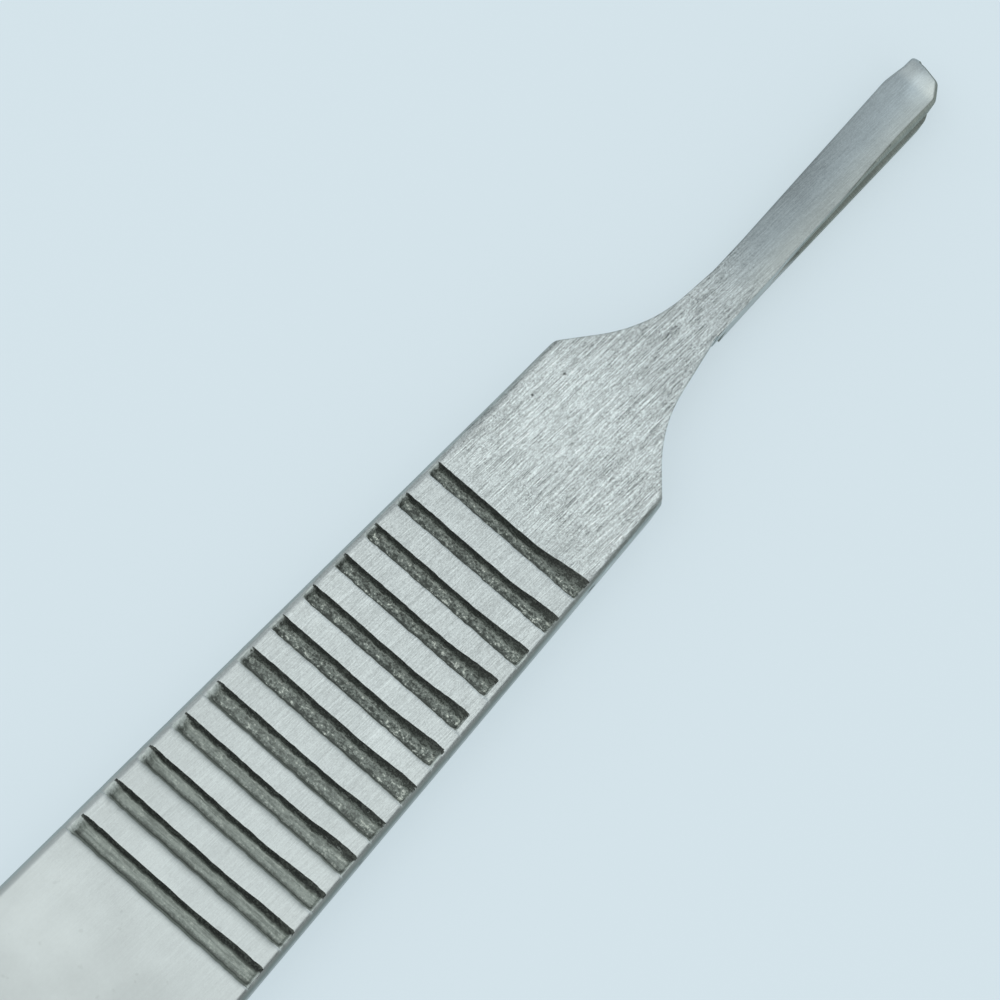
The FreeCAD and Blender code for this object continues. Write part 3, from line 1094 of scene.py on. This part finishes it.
@dataclass(frozen=True)
class SatinSteel:
    """Satin stainless steel of the faces, sides, neck and tang.

    Zones are rises along the handle in millimetres: the ground grain from the neck, over the lands,
    on the plain body and on the tang, and the tones of the neck and tang. Each mark is (x, y, half
    length, half width, turn in degrees, strength). The marks are dents, scratches and soft patches;
    the patches at x 16.1 and 61.2 are painted highlights, the second on the tang's nose.
    """

    grain: bpy.types.NodeTree
    cloud: bpy.types.NodeTree
    face: Colour = (0.530, 0.588, 0.582, 1.0)
    tang: Colour = (0.385, 0.445, 0.455, 1.0)
    tang_right: Colour = (0.41, 0.455, 0.437, 1.0)
    # milled: the dull milled finish, and also the painted dark reflection lines along the rounded
    # edges
    milled: Colour = (0.17, 0.20, 0.185, 1.0)
    grain_zones: tuple[Rise, ...] = (
        (27.0, 31.0, 0.45, 1.0), (4.0, 26.0, 0.3, 1.0), (0.0, 6.0, 0.12, 1.0))
    tang_zone: Rise = (43.0, 49.0)
    tang_ground: float = -0.75
    tang_lifts: tuple[Rise, ...] = ((52.5, 59.0, -0.06, 0.22), (48.5, 51.5, 0.09, 0.0))
    tang_lean: float = -0.15
    neck_shade: Rise = (36.0, 40.0, 0.0, -0.07)
    worn_right: Rise = (0.3, -1.0)
    upright: Rise = (0.80, 0.45)
    marks: tuple[tuple[float, float, float, float, float, float], ...] = (
        (35.83, 2.88, 0.11, 0.09, 0.0, -0.85), (33.90, 3.32, 0.11, 0.09, 0.0, -0.70),
        (34.27, 3.31, 0.45, 0.05, 0.0, -0.25), (35.47, 2.53, 1.05, 0.035, -1.5, 0.25),
        (35.50, 2.49, 1.05, 0.030, -1.5, -0.22), (42.30, -0.55, 0.45, 0.045, 0.0, 0.45),
        # the patch at (16.1, -3.0) below is a painted highlight
        (31.12, -1.19, 0.45, 0.35, 0.0, -0.14), (16.1, -3.0, 2.2, 1.1, 70.0, 0.07),
        (5.0, 0.8, 3.0, 1.6, 50.0, 0.06), (1.5, -2.2, 2.6, 1.4, -30.0, -0.06),
        (9.0, 1.5, 0.9, 2.0, 10.0, -0.05), (26.4, 1.4, 0.6, 1.2, 20.0, 0.05),
        (35.0, 1.6, 4.5, 3.2, 0.0, 0.10), (1.5, 2.6, 3.5, 2.6, 0.0, 0.07),
        # the patch at (61.2, -0.25) below is a painted highlight on the tang's nose
        (61.2, -0.25, 1.7, 1.0, 0.0, 0.30), (53.5, -0.3, 3.5, 0.9, 0.0, 0.06))
    mark_height: float = 2.6
    mark_fall: tuple[float, float] = (1.0, 0.40)

    def marks_and_painted_highlights(self, nodes: Nodes, place: Socket) -> Socket:
        """Add up the small dents, scratches, soft patches and painted highlights of the back face.

        A mark's strength falls smoothly to nothing where the distance from its middle, in units of
        its own halves, is 1.

        Args:
            nodes: the material's nodes.
            place: the place on the handle.

        Returns:
            The sum, which is above 0 where the steel is brighter.
        """
        marks = []
        for x, y, length, width, turn, strength in self.marks:
            spot = nodes.stretched(place, (length, width, 1.0), turn, (x, y, self.mark_height))
            reach = nodes.add("ShaderNodeVectorMath", {"operation": "LENGTH"}, Vector=spot)
            marks.append(nodes.rise(reach.outputs["Value"], *self.mark_fall, 0.0, strength))
        return nodes.plus(*marks)

    def make(self) -> bpy.types.Material:
        """Build the material: cloudy and streaked colour, with the ground grain also as bump.

        The grain is strongest from the first groove to the blade's seat. It fades along the tang,
        and over the lands towards the tail.
        """
        material, nodes = start_material("satin_steel")
        place, along, across = nodes.object_place()
        normal = nodes.add("ShaderNodeNewGeometry").outputs["Normal"]
        upright = nodes.rise(nodes.math("ABSOLUTE", nodes.axes(normal)[2]), *self.upright)
        grain = nodes.group(self.grain, Place=place, Upright=upright)
        clouds = nodes.group(self.cloud, Place=place)
        cloud, pits, side = clouds["Cloud"], clouds["Pits"], nodes.attribute("milled_and_painted_edge_shade")
        tang = nodes.rise(along, *self.tang_zone)
        ground = nodes.times(*(nodes.rise(along, *zone) for zone in self.grain_zones),
                             nodes.plus(nodes.times(tang, self.tang_ground), 1.0))

        streak = nodes.plus(nodes.times(nodes.plus(grain["Tone"], -0.5), 1.8),
                            nodes.times(grain["Scratches"], 0.28))
        lift = nodes.plus(*(nodes.rise(along, *zone) for zone in self.tang_lifts),
                          nodes.times(across, self.tang_lean))
        patch = nodes.times(nodes.plus(cloud, -0.5), 0.42)
        tone = nodes.plus(1.0, nodes.times(streak, ground), patch, nodes.times(pits, -0.08),
                          self.marks_and_painted_highlights(nodes, place),
                          nodes.times(lift, tang), nodes.rise(along, *self.neck_shade))
        on_tang = nodes.mix(nodes.rise(across, *self.worn_right), self.tang, self.tang_right)
        toned = nodes.add("ShaderNodeVectorMath", {"operation": "SCALE"},
                          Vector=nodes.mix(tang, self.face, on_tang), Scale=tone)
        rough = nodes.plus(0.262, nodes.times(cloud, 0.06), nodes.times(side, 0.25))
        height = nodes.plus(nodes.times(grain["Height"], ground, 0.4), nodes.times(cloud, 0.8),
                            nodes.times(pits, -0.25))
        # base colour: the milled colour, by the attribute, also paints the dark reflection lines of
        # the rounded edges
        nodes.principled(height, 0.6, 0.00001, Metallic=1.0, Roughness=rough,
                         Base_Color=nodes.mix(side, toned.outputs[0], self.milled))
        return material


@dataclass(frozen=True)
class MilledSteel:
    """Dull dark finish that milling leaves on the tang's sides, in its slots and on the boss. On
    the strip's right edge near the tip it also paints the dark line of that edge's reflection.
    """

    cloud: bpy.types.NodeTree
    dark: Colour = (0.20, 0.235, 0.215, 1.0)
    light: Colour = (0.29, 0.335, 0.305, 1.0)
    marks: Triple = (0.07, 1.2, 1.2)
    tones: Rise = (0.38, 0.64)

    def make(self) -> bpy.types.Material:
        """Build the material: cutter marks across the tang over cloudy dark steel."""
        material, nodes = start_material("milled_steel")
        place, _, _ = nodes.object_place()
        cloud = nodes.group(self.cloud, Place=place)["Cloud"]
        marks = nodes.noise(nodes.stretched(place, self.marks))
        tone = nodes.rise(nodes.times(nodes.plus(marks, cloud), 0.5), *self.tones)
        nodes.principled(marks, 0.5, 0.00001, Metallic=0.1, Roughness=0.7, Specular_IOR_Level=0.1,
                         Base_Color=nodes.mix(tone, self.dark, self.light))
        return material


@dataclass(frozen=True)
class GrooveSteel:
    """Dark rough steel inside the grooves, with paler worn specks on the floors. The almost black
    of the walls is painted shade and dark reflection over blackened steel.

    Rises of the place in a groove are in halves of its mouth: where the floor passes into the dark
    wall on the tang's side, and where the floor's painted shade band lies. The tailward rise is
    along the handle and the one of the right ends is across it, in millimetres.
    """

    # wall: painted shade and dark reflection over blackened steel; deep also colours the painted
    # shade band on the floor
    wall: Colour = (0.017, 0.021, 0.019, 1.0)
    deep: Colour = (0.075, 0.088, 0.078, 1.0)
    floor: Colour = (0.25, 0.29, 0.265, 1.0)
    speck: Colour = (0.70, 0.76, 0.69, 1.0)
    pale: Colour = (0.39, 0.445, 0.41, 1.0)
    worn: Colour = (0.52, 0.59, 0.57, 1.0)
    tailward: Rise = (18.0, 8.0)
    right_ends: Rise = (-3.3, -4.3, 0.0, 0.045)
    floor_edge: Rise = (0.76, 0.54)
    shade_band: tuple[Rise, Rise] = ((-0.80, -0.50), (-0.10, -0.45))

    def make(self) -> bpy.types.Material:
        """Build the material: almost black walls, painted shade over blackened steel, and granular
        floors, told apart by their place.

        The floor's edge is ragged next to the neck. Towards the tail it is straighter, and the
        floor is smoother.
        """
        material, nodes = start_material("groove_steel")
        place, along, across = nodes.object_place()
        fine = nodes.noise(place, 9000.0, rough=0.7)
        clump = nodes.noise(nodes.stretched(place, (0.16, 0.42, 0.3)), rough=0.6)
        drawn = nodes.noise(nodes.stretched(place, (0.10, 1.6, 0.5)), rough=0.6)
        broken = nodes.plus(fine, clump, -1.0)
        tailward = nodes.rise(along, *self.tailward)
        loose = nodes.plus(nodes.times(tailward, -1.05), 1.3)
        ragged = nodes.plus(nodes.attribute("groove_place"), nodes.times(broken, loose),
                            nodes.times(tailward, 0.04))
        grit = nodes.plus(nodes.times(fine, 0.6), nodes.times(clump, 0.4),
                          nodes.rise(across, *self.right_ends))
        ground = nodes.mix(nodes.rise(grit, 0.39, 0.55), self.deep, self.floor)
        ground = nodes.mix(nodes.rise(grit, 0.56, 0.635), ground, self.speck)
        smooth = nodes.mix(nodes.rise(drawn, 0.36, 0.62), self.floor, self.pale)
        ground = nodes.mix(nodes.times(tailward, 0.75), ground, smooth)
        # painted shade: a dark band along the lower part of each groove's floor
        shade = nodes.times(*(nodes.rise(ragged, *edge) for edge in self.shade_band), 0.68)
        ground = nodes.mix(shade, ground, self.deep)
        faded = nodes.plus(nodes.attribute("groove_end"), nodes.times(broken, 0.8))
        ground = nodes.mix(nodes.rise(faded, 0.35, 0.95, 0.0, 0.85), ground, self.worn)
        # the walls' near black is painted shade and dark reflection over blackened steel
        wall = nodes.mix(nodes.rise(grit, 0.45, 0.65), self.wall, self.deep)
        nodes.principled(fine, 0.8, 0.00004, Metallic=0.6, Roughness=0.62,
                         Base_Color=nodes.mix(nodes.rise(ragged, *self.floor_edge), wall, ground))
        return material


# Floor, light and camera

@dataclass(frozen=True)
class PaleFloor:
    """Plain pale blue-grey floor, large enough to fill every view, just under the handle.

    To the camera, and in mirror and glass rays, a share of it shines by itself, so that it is even.
    """

    half_size: float = 6.0
    gap: float = 0.00001
    plain_share: float = 0.7
    colour: Colour = (0.665, 0.775, 0.828, 1.0)

    def build(self) -> bpy.types.Object:
        """Make the floor as one level face."""
        turns = ((-1, -1), (1, -1), (1, 1), (-1, 1))
        corners = [(self.half_size * x, self.half_size * y, -self.gap) for x, y in turns]
        mesh = bpy.data.meshes.new("floor")
        mesh.from_pydata(corners, [], [(0, 1, 2, 3)])
        material, nodes = start_material("pale_floor")
        shader = nodes.add("ShaderNodeBsdfDiffuse", Color=self.colour)
        plain = nodes.add("ShaderNodeEmission", Color=self.colour)
        rays = nodes.add("ShaderNodeLightPath").outputs
        seen = (rays[f"Is {kind} Ray"] for kind in ("Camera", "Glossy", "Transmission"))
        both = nodes.add("ShaderNodeMixShader")
        share = nodes.times(reduce(partial(nodes.math, "MAXIMUM"), seen), self.plain_share)
        for target, value in zip(both.inputs, (share, shader.outputs[0], plain.outputs[0])):
            nodes.put(target, value)
        nodes.add("ShaderNodeOutputMaterial", Surface=both.outputs[0])
        mesh.materials.append(material)
        floor = add_object("floor", mesh)
        log.info("floor: %.0f m wide", 2 * self.half_size)
        return floor


@dataclass(frozen=True)
class StudioLight:
    """Soft light: a broad lamp from the tail's side, and a world with darker places overhead.

    The darker places are what satin steel shows as its dark edge lines and as the duller tang.
    Their rises are of the x and z of a direction, and of its x and y over its height.
    """

    lamp_power: float = 2.0
    lamp_size: float = 0.9
    lamp_place: Triple = (-0.75, 0.35, 1.1)
    overhead: Colour = (1.12, 1.12, 1.12, 1.0)
    tail_side: Colour = (1.15, 1.15, 1.15, 1.0)
    ahead: Colour = (0.50, 0.56, 0.62, 1.0)
    left: Colour = (0.63, 0.645, 0.665, 1.0)
    right: Colour = (0.05, 0.055, 0.055, 1.0)
    horizon: Colour = (0.76, 0.79, 0.80, 1.0)
    least_height: float = 0.02
    front_half: Rise = (-0.20, 0.10)
    tail_half: Rise = (-0.05, -0.45)
    ahead_band: tuple[Rise, Rise] = ((0.54, 0.70), (1.3, 0.8))
    left_from: Rise = (0.14, 0.45)
    low_from: Rise = (0.55, 0.2)
    low_right: Rise = (0.3, -0.3)
    right_band: tuple[Rise, Rise] = ((-0.30, -0.90), (-5.0, -1.6))
    right_fade: Rise = (1.1, 0.5, 0.3, 1.0)

    def build(self) -> None:
        """Make the lamp and the world's light."""
        lamp = bpy.data.lights.new("side_lamp", "AREA")
        lamp.shape, lamp.size, lamp.energy = "DISK", self.lamp_size, self.lamp_power
        holder = add_object("side_lamp", lamp)
        holder.location = self.lamp_place
        holder.rotation_mode = "QUATERNION"
        holder.rotation_quaternion = Vector(self.lamp_place).to_track_quat("Z", "Y")

        world = bpy.data.worlds.new("studio")
        world.use_nodes = True
        nodes = Nodes(world.node_tree)
        x, y, z = nodes.axes(nodes.add("ShaderNodeTexCoord").outputs["Generated"])
        height = nodes.math("MAXIMUM", z, self.least_height)
        forward, across = nodes.math("DIVIDE", x, height), nodes.math("DIVIDE", y, height)
        front = nodes.rise(x, *self.front_half)
        to_ahead = nodes.times(*(nodes.rise(forward, *edge) for edge in self.ahead_band))
        to_left = nodes.times(nodes.rise(across, *self.left_from), front)
        low = nodes.times(nodes.rise(z, *self.low_from), front, nodes.rise(across, *self.low_right))
        to_right = nodes.times(*(nodes.rise(across, *edge) for edge in self.right_band),
                               nodes.rise(forward, *self.right_fade), front)
        sky = self.overhead
        to_tail = nodes.rise(x, *self.tail_half)
        for share, colour in ((to_tail, self.tail_side), (to_ahead, self.ahead),
                              (to_left, self.left), (low, self.horizon), (to_right, self.right)):
            sky = nodes.mix(share, sky, colour)
        glow = nodes.add("ShaderNodeBackground", Color=sky, Strength=1.0)
        nodes.add("ShaderNodeOutputWorld", Surface=glow.outputs[0])
        bpy.context.scene.world = world
        log.info("light: one lamp %.2f m across and the world", self.lamp_size)


@dataclass(frozen=True)
class PhotoCamera:
    """Camera at the photograph's viewing angle, with its place in millimetres."""

    place: Triple = (-28.7718, -9.6876, 123.0635)
    right: Triple = (0.615854, -0.754479, 0.226903)
    down: Triple = (-0.660118, -0.651352, -0.374146)
    ahead: Triple = (0.430079, 0.080637, -0.899183)
    lens: float = 108.0
    sensor: float = 36.0
    clip: tuple[float, float] = (0.01, 30.0)

    def build(self) -> bpy.types.Object:
        """Make the camera and give it to the scene."""
        data = bpy.data.cameras.new("photo_camera")
        data.lens, data.sensor_width = self.lens, self.sensor
        data.clip_start, data.clip_end = self.clip
        camera = add_object("photo_camera", data)
        matrix = np.eye(4)
        matrix[:3, :3] = np.array([self.right, -np.array(self.down), -np.array(self.ahead)]).T
        matrix[:3, 3] = np.array(self.place) * MM
        camera.matrix_world = Matrix(matrix.tolist())
        bpy.context.scene.camera = camera
        log.info("camera: %.0f mm lens", self.lens)
        return camera


def main() -> None:
    """Build the scene: camera, light, floor, and then the handle in place of its solid."""
    logging.basicConfig(level=logging.INFO, format="%(name)s: %(message)s")
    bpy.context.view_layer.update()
    PhotoCamera().build()
    StudioLight().build()
    PaleFloor().build()
    cloud = satin_cloud()
    steel = SatinSteel(grinding_grain(), cloud)
    finishes = [finish.make() for finish in (steel, GrooveSteel(), MilledSteel(cloud))]
    handle = Handle().build(finishes)
    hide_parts("scalpel_handle")
    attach(handle, "root")
    bpy.context.scene.view_settings.view_transform = "Standard"


if __name__ == "__main__":
    main()
